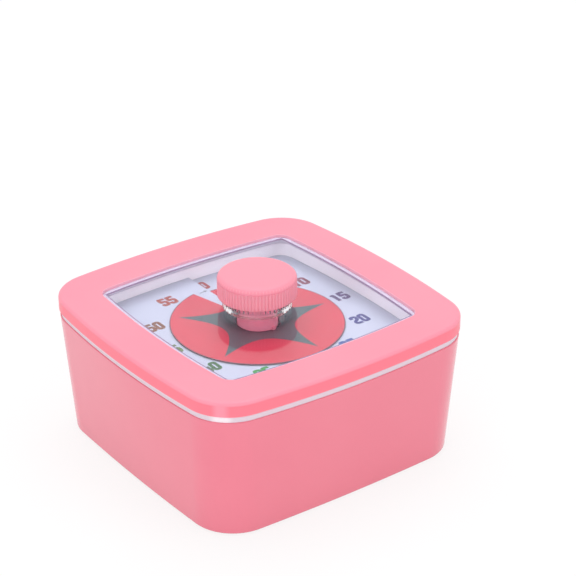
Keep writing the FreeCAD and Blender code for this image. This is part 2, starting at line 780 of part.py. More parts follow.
def switch_body():
    can = block(switch_x - switch_half_x, switch_x + switch_half_x,
                switch_y - switch_half_y, switch_y + switch_half_y,
                switch_bottom, board_bottom)
    room = switch_travel / 2 + 2.2
    chamber = block(switch_x - room, switch_x + room, switch_y - 1.6, switch_y + 1.6, switch_bottom + 0.8,
                    board_bottom - 1.4)
    slot = switch_travel / 2 + lever_half + 0.3
    mouth = block(switch_x - slot, switch_x + slot, switch_y - 1.3, switch_y + 1.3,
                  switch_bottom - 1, switch_bottom + 1)
    return can.cut([chamber, mouth])


def alarm_switch():
    """The lever, at the sound-on end of its travel."""
    x = switch_x - switch_travel / 2
    slider = block(x - 1.9, x + 1.9, switch_y - 1.4, switch_y + 1.4, switch_bottom + 1.0, board_bottom - 1.6)
    stem = block(x - lever_half, x + lever_half, switch_y - 1.0, switch_y + 1.0, 0.3, switch_bottom + 1.2)
    return slider.fuse(stem)


parts = {
    "rear_housing": rear_housing, "mid_frame": mid_frame, "front_bezel": front_bezel, "lens": lens,
    "dial_plate": dial_plate, "time_disc": time_disc, "knob_cap": knob_cap, "knob_hub": knob_hub,
    "centre_arbor": centre_arbor, "clutch_washer": clutch_washer, "centre_wheel": centre_wheel,
    "rotor": rotor, "stator": stator, "motor_coil": motor_coil, "movement_base": movement_base,
    "movement_cover": movement_cover, "movement_screws": movement_screws, "case_screws": case_screws,
    "board_screws": board_screws, "battery": battery, "battery_contact": battery_contact,
    "battery_spring": battery_spring, "battery_leads": battery_leads, "motor_leads": motor_leads,
    "battery_door": battery_door, "circuit_board": circuit_board, "timer_chip": timer_chip,
    "quartz_crystal": quartz_crystal, "capacitor": capacitor, "buzzer": buzzer,
    "switch_body": switch_body, "alarm_switch": alarm_switch,
}
for node, make in parts.items():
    save(make(), node)

wheels = {
    "third_wheel": (third_teeth, third_pinion_teeth, 3, third_place, second_bearing, third_bearing),
    "second_wheel": (second_teeth, second_pinion_teeth, 2, second_place, first_bearing, second_bearing),
    "first_wheel": (first_teeth, first_pinion_teeth, 1, first_place, rotor_bearing, first_bearing),
}
for node, (teeth, pinion_teeth, number, spot, driver, driven) in wheels.items():
    save(wheel_and_pinion(teeth, pinion_teeth, number, spot, driver, driven + 180.0), node)
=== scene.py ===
import bpy
import bmesh
import math
from mathutils import Matrix, Vector


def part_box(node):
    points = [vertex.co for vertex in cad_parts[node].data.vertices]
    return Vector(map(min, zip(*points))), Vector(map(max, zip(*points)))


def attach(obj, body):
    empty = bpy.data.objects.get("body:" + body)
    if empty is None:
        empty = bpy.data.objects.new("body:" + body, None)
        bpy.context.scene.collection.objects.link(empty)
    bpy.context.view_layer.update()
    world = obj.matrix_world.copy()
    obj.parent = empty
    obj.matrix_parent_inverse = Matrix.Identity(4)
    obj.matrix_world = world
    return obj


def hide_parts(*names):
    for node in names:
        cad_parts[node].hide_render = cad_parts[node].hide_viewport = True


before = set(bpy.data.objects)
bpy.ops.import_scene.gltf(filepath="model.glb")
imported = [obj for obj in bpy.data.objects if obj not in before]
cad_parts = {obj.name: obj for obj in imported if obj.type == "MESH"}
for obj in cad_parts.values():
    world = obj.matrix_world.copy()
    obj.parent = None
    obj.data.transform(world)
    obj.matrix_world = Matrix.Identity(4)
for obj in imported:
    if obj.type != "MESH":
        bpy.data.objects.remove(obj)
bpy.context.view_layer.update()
mm = 0.001
fullTurn = 2 * math.pi
materials = {}
print("frame loaded:", len(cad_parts), "nodes")


class Signal:
    # a wrapped node output: arithmetic on it adds Math nodes to its tree
    def __init__(self, tree, socket):
        self.tree = tree
        self.socket = socket

    def work(self, operation, *terms):
        return addNode(self.tree, "ShaderNodeMath", {"operation": operation}, dict(enumerate(terms)))

    def __add__(self, other):
        return self.work("ADD", self, other)

    def __radd__(self, other):
        return self.work("ADD", other, self)

    def __sub__(self, other):
        return self.work("SUBTRACT", self, other)

    def __rsub__(self, other):
        return self.work("SUBTRACT", other, self)

    def __mul__(self, other):
        return self.work("MULTIPLY", self, other)

    def __rmul__(self, other):
        return self.work("MULTIPLY", other, self)

    def __truediv__(self, other):
        return self.work("DIVIDE", self, other)

    def __rtruediv__(self, other):
        return self.work("DIVIDE", other, self)

    def least(self, other):
        return self.work("MINIMUM", self, other)

    def most(self, other):
        return self.work("MAXIMUM", self, other)

    def root(self):
        return self.work("SQRT", self)

    def size(self):
        return self.work("ABSOLUTE", self)

    def sine(self):
        return self.work("SINE", self)

    def ease(self, low, high):
        # 0 below low, 1 above high, smooth between
        return addNode(self.tree, "ShaderNodeMapRange", {"interpolation_type": "SMOOTHSTEP"},
                       {"Value": self, "From Min": low, "From Max": high})


def addNode(tree, kind, settings=None, values=None, output=0):
    node = tree.nodes.new(kind)
    for name, value in (settings or {}).items():
        setattr(node, name, value)
    for name, value in (values or {}).items():
        if isinstance(value, Signal):
            tree.links.new(value.socket, node.inputs[name])
        else:
            node.inputs[name].default_value = value
    return Signal(tree, node.outputs[output])


def linear(colour):
    # a screen colour of 0 to 255 as a shader colour
    channels = [c / 255 for c in colour]
    return tuple([c / 12.92 if c <= 0.04045 else ((c + 0.055) / 1.055) ** 2.4 for c in channels] + [1.0])


def mixColour(share, first, second):
    # a Mix node's colours go into its sockets 6 and 7, and its colour comes out of its output 2
    return addNode(share.tree, "ShaderNodeMix", {"data_type": "RGBA"}, {0: share, 6: first, 7: second}, 2)


def drift(pattern, first, second, low=0.3, high=0.7):
    # the first colour passes into the second as the pattern climbs from low to high
    return mixColour(pattern.ease(low, high), linear(first), linear(second))


def newMaterial(name):
    material = bpy.data.materials.new(name)
    material.use_nodes = True
    material.node_tree.nodes.clear()
    materials[name] = material
    return material.node_tree


def place(tree):
    # where a point of the surface lies on its piece
    return addNode(tree, "ShaderNodeTexCoord", output="Object")


def split(vector):
    # x, y and z of a vector
    first = addNode(vector.tree, "ShaderNodeSeparateXYZ", {}, {0: vector})
    return [Signal(vector.tree, first.socket.node.outputs[i]) for i in range(3)]


def stretched(tree, scale):
    return addNode(tree, "ShaderNodeMapping", {}, {"Vector": place(tree), "Scale": scale})


def noise(vector, scale, detail=2.0, roughness=0.5):
    return addNode(vector.tree, "ShaderNodeTexNoise", {},
                   {"Vector": vector, "Scale": scale, "Detail": detail, "Roughness": roughness})


def bump(height, depth, strength=1.0):
    return addNode(height.tree, "ShaderNodeBump", {},
                   {"Height": height, "Distance": depth, "Strength": strength})


def surface(tree, shader):
    node = tree.nodes.new("ShaderNodeOutputMaterial")
    tree.links.new(shader.socket, node.inputs["Surface"])


def principled(tree, values):
    surface(tree, addNode(tree, "ShaderNodeBsdfPrincipled", {}, values))


# what a plastic has unless its own look says otherwise
plasticBase = {"ior": 1.5, "shine": 0.5, "coat": 0.0, "coatRoughness": 0.04, "polishScale": 90.0,
               "depth": 0.0, "depthReach": 1.2 * mm, "depthColour": (1.0, 0.45, 0.4)}
plasticLooks = {
    "pink_shell": {"colour": (240, 129, 148), "cloud": (238, 125, 145), "cloudScale": 26.0,
                   "skinScale": 420.0, "skinDepth": 0.0025 * mm, "polish": 0.2, "polishSpread": 0.06,
                   "coat": 0.3},
    "pink_bezel": {"colour": (252, 152, 171), "cloud": (250, 148, 168), "cloudScale": 26.0,
                   "skinScale": 520.0, "skinDepth": 0.003 * mm, "polish": 0.36, "polishSpread": 0.06,
                   "shine": 0.35},
    "white_frame": {"colour": (252, 244, 250), "cloud": (249, 240, 247), "cloudScale": 30.0,
                    "skinScale": 520.0, "skinDepth": 0.003 * mm, "polish": 0.35, "polishSpread": 0.08},
    "natural_gear": {"colour": (233, 229, 214), "cloud": (224, 219, 201), "cloudScale": 160.0,
                     "skinScale": 1500.0, "skinDepth": 0.003 * mm, "polish": 0.42, "polishSpread": 0.1,
                     "depth": 0.15},
    "grey_case": {"colour": (96, 99, 104), "cloud": (88, 91, 97), "cloudScale": 60.0, "skinScale": 1900.0,
                  "skinDepth": 0.01 * mm, "polish": 0.5, "polishSpread": 0.1},
    "black_plastic": {"colour": (32, 33, 35), "cloud": (40, 41, 43), "cloudScale": 120.0, "skinScale": 2600.0,
                      "skinDepth": 0.01 * mm, "polish": 0.45, "polishSpread": 0.12},
    "lead_red": {"colour": (176, 32, 30), "cloud": (160, 26, 26), "cloudScale": 140.0, "skinScale": 2200.0,
                 "skinDepth": 0.006 * mm, "polish": 0.38, "polishSpread": 0.1},
    "magnet": {"colour": (52, 51, 53), "cloud": (66, 62, 60), "cloudScale": 400.0, "skinScale": 3200.0,
               "skinDepth": 0.02 * mm, "polish": 0.62, "polishSpread": 0.1},
}
# the hub's copy of the bezel pink, redder and brighter, is painted light on the hub in the knob's shade
plasticLooks["pink_hub_lit"] = dict(plasticLooks["pink_bezel"], colour=(255, 150, 172), cloud=(255, 146, 168))
# the ribs' lighter copy of the bezel pink is painted light against the shade between the ribs
plasticLooks["pink_ribs_lit"] = dict(plasticLooks["pink_bezel"], colour=(255, 172, 187), cloud=(253, 168, 184))

# painted light on a square piece's inner wall and painted shade on its outer side, by the distance from its
# middle: each pair is where a change starts and where it is full, and each fades out just below its top
paintedZoneLook = {"wallStart": (30.0 * mm, 31.0 * mm), "wallEnd": (37.4 * mm, 37.9 * mm), "wallFade": 0.1 * mm,
            "sideStart": (44.5 * mm, 46.0 * mm), "sideFade": 0.5 * mm}
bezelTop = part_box("front_bezel")[1][2]
aboveAll = 60.0 * mm  # higher than the whole timer, for a tint without a top
# the bezel's inner wall is painted lighter as painted light, and its outer side a deeper pink as painted
# shade; the white frame's outer side is painted in a greyer pink shade, and its wall keeps its own colour
plasticLooks["pink_bezel"].update(wallColour=(255, 186, 204), wallTop=bezelTop - 0.02 * mm,
                                  sideColour=(255, 128, 146), sideTop=bezelTop - 0.7 * mm)
plasticLooks["white_frame"].update(wallColour=(252, 244, 250), wallTop=aboveAll,
                                   sideColour=(226, 213, 224), sideTop=aboveAll)


# mixes painted light into an inner wall and painted shade into an outer side
def paintLightAndShade(at, colour, look):
    x, y, z = split(at)
    reach = x.size().most(y.size())
    wall = reach.ease(*paintedZoneLook["wallStart"]) * (1.0 - reach.ease(*paintedZoneLook["wallEnd"]))
    wall = wall * (1.0 - z.ease(look["wallTop"] - paintedZoneLook["wallFade"], look["wallTop"]))
    side = reach.ease(*paintedZoneLook["sideStart"])
    side = side * (1.0 - z.ease(look["sideTop"] - paintedZoneLook["sideFade"], look["sideTop"]))
    return mixColour(side, mixColour(wall, colour, linear(look["wallColour"])), linear(look["sideColour"]))


def mouldedPlastic(name, look):
    # injection-moulded plastic: faint flow clouds, a fine skin, and polish that varies a little
    look = {**plasticBase, **look}
    tree = newMaterial(name)
    at = place(tree)
    colour = drift(noise(at, look["cloudScale"], 3.0), look["colour"], look["cloud"])
    # painted light and shade on the walls and sides of square pieces
    if "sideColour" in look:
        colour = paintLightAndShade(at, colour, look)
    skin = noise(at, look["skinScale"])
    polish = look["polish"] + (noise(at, look["polishScale"]) - 0.5) * look["polishSpread"]
    principled(tree, {
        "Base Color": colour, "Roughness": polish, "IOR": look["ior"], "Specular IOR Level": look["shine"],
        "Coat Weight": look["coat"], "Coat Roughness": look["coatRoughness"],
        "Subsurface Weight": look["depth"], "Subsurface Radius": look["depthColour"],
        "Subsurface Scale": look["depthReach"], "Normal": bump(skin, look["skinDepth"])})


metalBase = {"stainScale": 70.0, "polishSpread": 0.18, "grainDepth": 0.02 * mm, "grainStrength": 0.5}
metalLooks = {
    "steel": {"colour": (182, 184, 188), "stain": (160, 160, 164), "grain": (900.0, 900.0, 120.0),
              "polish": 0.3},
    "nickel": {"colour": (206, 202, 192), "stain": (186, 180, 168), "grain": (260.0, 1600.0, 1600.0),
               "polish": 0.26},
    "tin_can": {"colour": (198, 200, 203), "stain": (176, 178, 182), "grain": (500.0, 500.0, 2400.0),
                "polish": 0.34},
}


def brushedMetal(name, look):
    look = {**metalBase, **look}
    tree = newMaterial(name)
    grain = noise(stretched(tree, look["grain"]), 1.0, 4.0, 0.6)
    stain = noise(place(tree), look["stainScale"], 3.0)
    principled(tree, {
        "Base Color": drift(stain, look["colour"], look["stain"], 0.35, 0.75), "Metallic": 1.0,
        "Roughness": look["polish"] + (grain - 0.5) * look["polishSpread"],
        "Normal": bump(grain, look["grainDepth"], look["grainStrength"])})


for name, look in plasticLooks.items():
    mouldedPlastic(name, look)
for name, look in metalLooks.items():
    brushedMetal(name, look)

windingLook = {"pitch": 0.24 * mm, "gap": (90, 36, 18), "wire": (214, 120, 72), "metal": 0.9, "polish": 0.42,
               "strandShine": 0.16, "strandDepth": 0.06 * mm, "stainScale": 260.0, "stainShare": 0.3}


def windingMaterial(look):
    # enamelled wire, wound round the Y axis; the dark gap colour is painted shade in the grooves between
    # turns
    tree = newMaterial("copper")
    y = split(place(tree))[1]
    strand = ((y * (fullTurn / look["pitch"])).sine() + 1.0) * 0.5
    stain = noise(place(tree), look["stainScale"])
    shade = strand * (1.0 - look["stainShare"]) + stain * look["stainShare"]
    principled(tree, {
        "Base Color": drift(shade, look["gap"], look["wire"], 0.1, 0.8), "Metallic": look["metal"],
        "Roughness": look["polish"] - strand * look["strandShine"],
        "Normal": bump(strand, look["strandDepth"])})


cellLook = {"bandStart": 14.0 * mm, "sleeveEnd": 27.3 * mm, "fade": 0.1 * mm, "sleeve": (34, 36, 40),
            "band": (196, 128, 78), "can": (196, 194, 188), "canMetal": 0.8, "bandMetal": 0.15,
            "scuff": (170, 170, 170), "scuffShare": 0.25, "scuffScale": 150.0, "polish": 0.28,
            "polishSpread": 0.12, "skinScale": 900.0, "skinDepth": 0.01 * mm}


def cellMaterial(look):
    # a plain wrapped cell: dark sleeve, bright band at the raised end, bare metal faces
    tree = newMaterial("cell")
    at = place(tree)
    x = split(at)[0]
    band = x.ease(look["bandStart"], look["bandStart"] + look["fade"])
    bare = x.ease(look["sleeveEnd"], look["sleeveEnd"] + look["fade"])
    worn = noise(at, look["scuffScale"], 3.0)
    sleeve = mixColour(band, linear(look["sleeve"]), linear(look["band"]))
    scuffed = mixColour(worn.ease(0.55, 0.8) * look["scuffShare"], sleeve, linear(look["scuff"]))
    principled(tree, {
        "Base Color": mixColour(bare, scuffed, linear(look["can"])),
        "Metallic": bare * look["canMetal"] + band * look["bandMetal"],
        "Roughness": look["polish"] + worn * look["polishSpread"],
        "Normal": bump(noise(at, look["skinScale"]), look["skinDepth"])})


boardLook = {"mask": (22, 92, 58), "maskPale": (26, 100, 64), "track": (40, 124, 82), "trackScale": 190.0,
             "trackWidth": 0.045, "trackSoft": 0.2, "weaveScale": (2600.0, 2600.0, 400.0), "weaveShare": 0.4,
             "relief": 0.03 * mm, "polish": 0.32, "polishSpread": 0.14}


def boardMaterial(look):
    # solder mask over tracks, with the weave of the glass just visible
    tree = newMaterial("board_green")
    tracks = addNode(tree, "ShaderNodeTexBrick", {"offset": 0.5}, {
        "Vector": place(tree), "Scale": look["trackScale"], "Mortar Size": look["trackWidth"],
        "Mortar Smooth": look["trackSoft"], "Mortar": linear(look["track"]),
        "Color1": linear(look["mask"]), "Color2": linear(look["maskPale"])})
    raised = Signal(tree, tracks.socket.node.outputs["Fac"])
    weave = noise(stretched(tree, look["weaveScale"]), 1.0)
    height = raised * (1.0 - look["weaveShare"]) + weave * look["weaveShare"]
    principled(tree, {"Base Color": tracks, "Roughness": look["polish"] + weave * look["polishSpread"],
                      "Normal": bump(height, look["relief"])})


# the slit is in degrees
dialLook = {"pitch": 1.3 * mm, "slit": 1.2, "paper": (178, 181, 199), "paperCloud": (174, 177, 196),
            "cloudScale": 40.0, "fibreStretch": (1.0, 1.0, 0.3), "fibreScale": 1400.0, "fibreShare": 0.4,
            "fibreDepth": 0.012 * mm, "polish": 0.5, "polishSpread": 0.14}
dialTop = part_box("dial_plate")[1][2]
dialLow = dialTop - dialLook["pitch"] * (360 - dialLook["slit"] / 2) / 360


def dialHeight(x, y):
    # height of the dial's face, which climbs one pitch clockwise from 12 o'clock
    turn = math.atan2(x, y) % fullTurn
    return dialLow + dialLook["pitch"] * turn / fullTurn


def printedPaper(look):
    tree = newMaterial("white_dial")
    fibres = noise(stretched(tree, look["fibreStretch"]), look["fibreScale"], 4.0, 0.65)
    clouds = noise(place(tree), look["cloudScale"])
    shade = clouds * (1.0 - look["fibreShare"]) + fibres * look["fibreShare"]
    principled(tree, {
        "Base Color": drift(shade, look["paper"], look["paperCloud"]),
        "Roughness": look["polish"] + fibres * look["polishSpread"],
        "Normal": bump(fibres, look["fibreDepth"])})


# lengths in mm and angles in degrees: the star's tips and valleys lie this far from the axis
discLook = {"arms": 5, "tips": 24.6, "valleys": 11.6, "armAngle": 43.0, "leading": 347.0, "blur": 1.2,
            "edge": 27.1, "edgeWidth": 0.36, "edgeSharp": 0.6, "red": (194, 33, 62), "redDeep": (186, 30, 58),
            "star": (52, 72, 80), "rim": (104, 52, 72), "cloudScale": 60.0, "grainScale": 1600.0,
            "grainDepth": 0.006 * mm, "polish": 0.36, "polishSpread": 0.12}


def printedDisc(look):
    # red disc; the figure left between the petals has straight-ended arms and round valleys (hyperbola edges)
    tree = newMaterial("red_disc")
    at = place(tree)
    x, y = [part / mm for part in split(at)[:2]]
    half = math.pi / look["arms"]
    slope = math.tan(math.radians(look["armAngle"])) ** 2
    tipAlong, tipAside = look["tips"] * math.cos(half), look["tips"] * math.sin(half)
    origin = (tipAlong + look["valleys"] - tipAside ** 2 / (slope * (tipAlong - look["valleys"]))) / 2
    petal = None
    for arm in range(look["arms"]):
        turn = math.radians(look["leading"]) - 2 * half * arm
        along = (x * math.sin(turn) + y * math.cos(turn) - origin).most(0.0)
        aside = x * math.cos(turn) - y * math.sin(turn)
        inside = (along * along - (look["valleys"] - origin) ** 2) * slope - aside * aside
        petal = inside if petal is None else petal.most(inside)
    star = 1.0 - petal.ease(-look["blur"], look["blur"])
    fromAxis = (x * x + y * y).root()
    edge, width = look["edge"], look["edgeWidth"]
    rim = fromAxis.ease(edge - width, edge - width * look["edgeSharp"])
    grain = noise(at, look["grainScale"], 3.0)
    red = drift(noise(at, look["cloudScale"]), look["red"], look["redDeep"])
    inked = mixColour(star, red, linear(look["star"]))
    principled(tree, {
        "Base Color": mixColour(rim, inked, linear(look["rim"])),
        "Roughness": look["polish"] + grain * look["polishSpread"],
        "Normal": bump(grain, look["grainDepth"])})


windingMaterial(windingLook)
cellMaterial(cellLook)
boardMaterial(boardLook)
printedPaper(dialLook)
printedDisc(discLook)


def passLight(tree, shader, tint):
    # the piece shows this shader, and light on its way to what lies behind only takes the tint
    through = addNode(tree, "ShaderNodeBsdfTransparent", {}, {"Color": linear(tint)})
    shadowRay = addNode(tree, "ShaderNodeLightPath", output="Is Shadow Ray")
    surface(tree, addNode(tree, "ShaderNodeMixShader", {}, {0: shadowRay, 1: shader, 2: through}))


# an ior of 1 shows what is behind unshifted, and the gloss is then a coat's
clearLooks = {
    "clear_pane": {"tint": (250, 251, 254), "ior": 1.0, "gloss": 0.68, "coatIor": 1.5, "rippleScale": 24.0,
                   "ripple": 0.0004 * mm},
    "clear_tube": {"tint": (254, 252, 253), "ior": 1.0, "gloss": 0.7, "coatIor": 1.4, "rippleScale": 24.0,
                   "ripple": 0.001 * mm},
    "clear_solid": {"tint": (252, 252, 254), "ior": 1.49, "gloss": 0.0, "coatIor": 1.5, "rippleScale": 160.0,
                    "ripple": 0.001 * mm},
}


def clearPlastic(name, look):
    tree = newMaterial(name)
    ripple = noise(place(tree), look["rippleScale"])
    passLight(tree, addNode(tree, "ShaderNodeBsdfPrincipled", {}, {
        "Base Color": linear(look["tint"]), "Roughness": 0.0, "IOR": look["ior"], "Transmission Weight": 1.0,
        "Coat Weight": look["gloss"], "Coat Roughness": 0.0, "Coat IOR": look["coatIor"],
        "Normal": bump(ripple, look["ripple"])}), look["tint"])


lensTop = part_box("front_bezel")[1][2] - 0.75 * mm
frostedBase = {"speckScale": 700.0, "speckDepth": 0.02 * mm, "polish": 0.45, "polishSpread": 0.2}
frostedLooks = {
    "frosted_edge": {"low": lensTop - 1.6 * mm, "high": lensTop, "lowColour": (196, 186, 204),
                     "highColour": (184, 172, 190)},
    # a dark line painted as the shadow of the gap between the border and the well
    "border_shadow_line": {"low": lensTop - 0.8 * mm, "high": lensTop - 0.3 * mm, "lowColour": (190, 150, 182),
                    "highColour": (112, 76, 122)},
}


def frostedPlastic(name, look):
    # the pane's matt border, and the painted shadow line along its inner edge, each a little paler lower down
    look = {**frostedBase, **look}
    tree = newMaterial(name)
    at = place(tree)
    drop = split(at)[2].ease(look["low"], look["high"])
    speck = noise(at, look["speckScale"], 3.0)
    passLight(tree, addNode(tree, "ShaderNodeBsdfPrincipled", {}, {
        "Base Color": mixColour(drop, linear(look["lowColour"]), linear(look["highColour"])),
        "Roughness": look["polish"] + speck * look["polishSpread"],
        "Normal": bump(speck, look["speckDepth"])}), look["highColour"])


for name, look in clearLooks.items():
    clearPlastic(name, look)
for name, look in frostedLooks.items():
    frostedPlastic(name, look)
print("materials made:", len(materials))


# finishes of the CAD nodes that are shown as they are
nodeFinishes = {
    "rear_housing": "pink_shell", "battery_door": "pink_shell", "front_bezel": "pink_bezel",
    "knob_hub": "pink_hub_lit", "mid_frame": "white_frame", "dial_plate": "white_dial", "time_disc": "red_disc",
    "centre_arbor": "steel", "clutch_washer": "steel", "stator": "steel",
    "centre_wheel": "natural_gear", "third_wheel": "natural_gear", "second_wheel": "natural_gear",
    "first_wheel": "natural_gear", "rotor": "magnet", "motor_coil": "copper",
    "movement_base": "grey_case", "movement_cover": "grey_case",
    "battery": "cell", "battery_contact": "nickel", "battery_spring": "nickel", "battery_leads": "lead_red",
    "motor_leads": "copper", "circuit_board": "board_green", "timer_chip": "black_plastic",
    "quartz_crystal": "tin_can", "capacitor": "tin_can", "buzzer": "black_plastic",
    "switch_body": "tin_can", "alarm_switch": "black_plastic",
}
for node, finish in nodeFinishes.items():
    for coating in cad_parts[node].material_slots:
        coating.material = materials[finish]
print("CAD nodes finished:", len(nodeFinishes))


def newPiece(name, mesh, body, finish):
    # finish is None where the mesh already holds its materials
    piece = bpy.data.objects.new(name, mesh)
    bpy.context.scene.collection.objects.link(piece)
    if finish is not None:
        mesh.materials.clear()
        mesh.materials.append(materials[finish])
    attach(piece, body)
    return piece


def smoothOver(made, sharp):
    # smooth shading, broken where two faces meet at more than the sharp angle
    for face in made.faces:
        face.smooth = True
    for edge in made.edges:
        edge.smooth = len(edge.link_faces) == 2 and edge.calc_face_angle() < sharp


def ringMesh(name, loops, closed, sharp=0.6, marked=()):
    # a skin through loops of equal length; the last meets the first when closed, a one-point loop is a pole,
    # and the marked strips between loops take the second material
    mesh = bpy.data.meshes.new(name)
    made = bmesh.new()
    rows = [[made.verts.new(point) for point in loop] for loop in loops]
    pairs = list(zip(rows, rows[1:])) + ([(rows[-1], rows[0])] if closed else [])
    for strip, (low, high) in enumerate(pairs):
        for i in range(max(len(low), len(high))):
            corners = [low[i % len(low)], low[(i + 1) % len(low)]]
            corners += [high[(i + 1) % len(high)], high[i % len(high)]]
            corners = [c for n, c in enumerate(corners) if c not in corners[:n]]
            made.faces.new(corners).material_index = int(strip in marked)
    bmesh.ops.recalc_face_normals(made, faces=made.faces)
    smoothOver(made, sharp)
    made.to_mesh(mesh)
    made.free()
    return mesh


def circleLoop(radius, z, angles):
    return [(radius * math.cos(a), radius * math.sin(a), z) for a in angles]


def windowLoop(half, bow, corner, z, sidePoints=14, cornerPoints=10):
    # a square with bowed sides and round corners, counter-clockwise from the lower end of the +X side
    centre = half - bow
    reach = bow - corner
    inset = (2 * centre + math.sqrt(4 * centre ** 2 - 8 * (centre ** 2 - reach ** 2))) / 4
    turn = math.atan2(inset, inset - centre)
    quarter = []
    for i in range(sidePoints):
        a = -turn + 2 * turn * i / sidePoints
        quarter.append((centre + bow * math.cos(a), bow * math.sin(a)))
    for i in range(cornerPoints):
        a = turn + (math.pi / 2 - 2 * turn) * i / cornerPoints
        quarter.append((inset + corner * math.cos(a), inset + corner * math.sin(a)))
    points = []
    for cos, sin in [(1, 0), (0, 1), (-1, 0), (0, -1)]:
        points += [(x * cos - y * sin, x * sin + y * cos, z) for x, y in quarter]
    return points


# the lens is a pane, its matt border, a fluted collar and a tube; all in mm
lensLook = {"half": 36.9, "bow": 329.88, "corner": 4.18, "plate": 0.26, "chamfer": 0.1, "depth": 3.0,
            "borderHalf": 35.27, "borderCorner": 0.5, "borderLip": 0.4, "borderWall": 0.5, "shadowLineWidth": 0.34,
            "flangeHalf": 39.2, "flange": 1.05, "flangeWall": 1.2, "flangeSlope": 0.15,
            "collarRadius": 10.65, "collarWall": 2.0, "collarHeight": 2.9, "collarFoot": 0.25,
            "collarRound": 0.2, "flutes": 40, "fluteDepth": 0.22, "fluteStart": 1.0, "fluteSteps": 6,
            "tubeRadius": 8.4, "tubeWall": 1.5, "smallRound": 0.15, "paneRing": 4.0, "leastCorner": 0.3,
            "borderGap": 0.03, "jointGap": 0.01}


def buildLens(look):
    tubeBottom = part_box("lens")[0][2] / mm
    top = lensTop / mm
    bottom = top - look["depth"]
    flangeTop = bottom + look["flange"]
    under = top - look["plate"]
    bore = look["tubeRadius"] - look["tubeWall"]

    def window(half, z, corner=None):
        # bow and corner shrink with the outline, unless a corner is given
        shrink = look["half"] - half
        rounding = max(look["corner"] - shrink, look["leastCorner"]) if corner is None else corner
        return [Vector(p) * mm for p in windowLoop(half, look["bow"] - shrink, rounding, z)]

    angles = [math.atan2(p[1], p[0]) for p in window(look["half"], 0.0)]

    def circle(radius, z):
        return circleLoop(radius * mm, z * mm, angles)

    half, chamfer = look["half"], look["chamfer"]
    middle = look["collarRadius"] + look["paneRing"]
    loops = [circle(bore, under), circle(bore, top), circle(middle, top), window(half - chamfer, top),
             window(half, top - chamfer), window(half, under), circle(middle, under)]
    pane = newPiece("lensPane", ringMesh("lensPane", loops, True), "case", "clear_pane")
    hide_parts("lens")

    edge, flange, cornered = look["borderHalf"], look["flangeHalf"], look["borderCorner"]
    ledge = under - look["borderGap"]
    lip = ledge - look["borderLip"]
    loops = [window(edge, ledge, cornered), window(edge + look["shadowLineWidth"], ledge, cornered),
             window(half, ledge), window(half, flangeTop), window(flange, flangeTop), window(flange, bottom),
             window(flange - look["flangeWall"], bottom),
             window(flange - look["flangeWall"], flangeTop - look["flangeSlope"]),
             window(half - look["borderWall"], flangeTop), window(half - look["borderWall"], lip),
             window(edge, lip, cornered)]
    # the border's inner top strip and inner wall carry the painted shadow line
    mesh = ringMesh("lensBorder", loops, True, marked=(0, len(loops) - 1))
    mesh.materials.append(materials["frosted_edge"])
    mesh.materials.append(materials["border_shadow_line"])
    newPiece("lensBorder", mesh, "case", None)

    flutes = look["flutes"]
    turns = [fullTurn * i / (flutes * look["fluteSteps"]) for i in range(flutes * look["fluteSteps"])]

    def lathe(name, outline, finish):
        # outline points are radius, height and how far the flutes cut there
        loops = []
        for radius, z, cut in outline:
            radii = [(radius + cut * (0.5 - 0.5 * math.cos(flutes * a))) * mm for a in turns]
            loops.append([(r * math.cos(a), r * math.sin(a), z * mm) for r, a in zip(radii, turns)])
        newPiece(name, ringMesh(name, loops, True), "case", finish)

    outer, inner = look["collarRadius"], look["collarRadius"] - look["collarWall"]
    rim = top + look["collarHeight"]
    cut, bevel, soft = look["fluteDepth"], look["collarRound"], look["smallRound"]
    seat, start = top + look["jointGap"], top + look["fluteStart"]
    lathe("lensCollar", [(inner, seat, 0.0), (outer + chamfer, seat, 0.0),
                         (outer, top + look["collarFoot"], 0.0), (outer, rim - bevel, 0.0),
                         (outer - bevel, rim, 0.0), (inner + chamfer, rim, cut), (inner, rim - soft, cut),
                         (inner, start + chamfer, cut), (inner, start, 0.0)], "clear_solid")
    tube, hung = look["tubeRadius"], under - look["jointGap"]
    lathe("lensTube", [(bore, hung, 0.0), (bore, tubeBottom + soft, 0.0), (bore + soft, tubeBottom, 0.0),
                       (tube - soft, tubeBottom, 0.0), (tube, tubeBottom + soft, 0.0),
                       (tube, hung, 0.0)], "clear_tube")


buildLens(lensLook)
print("lens built")


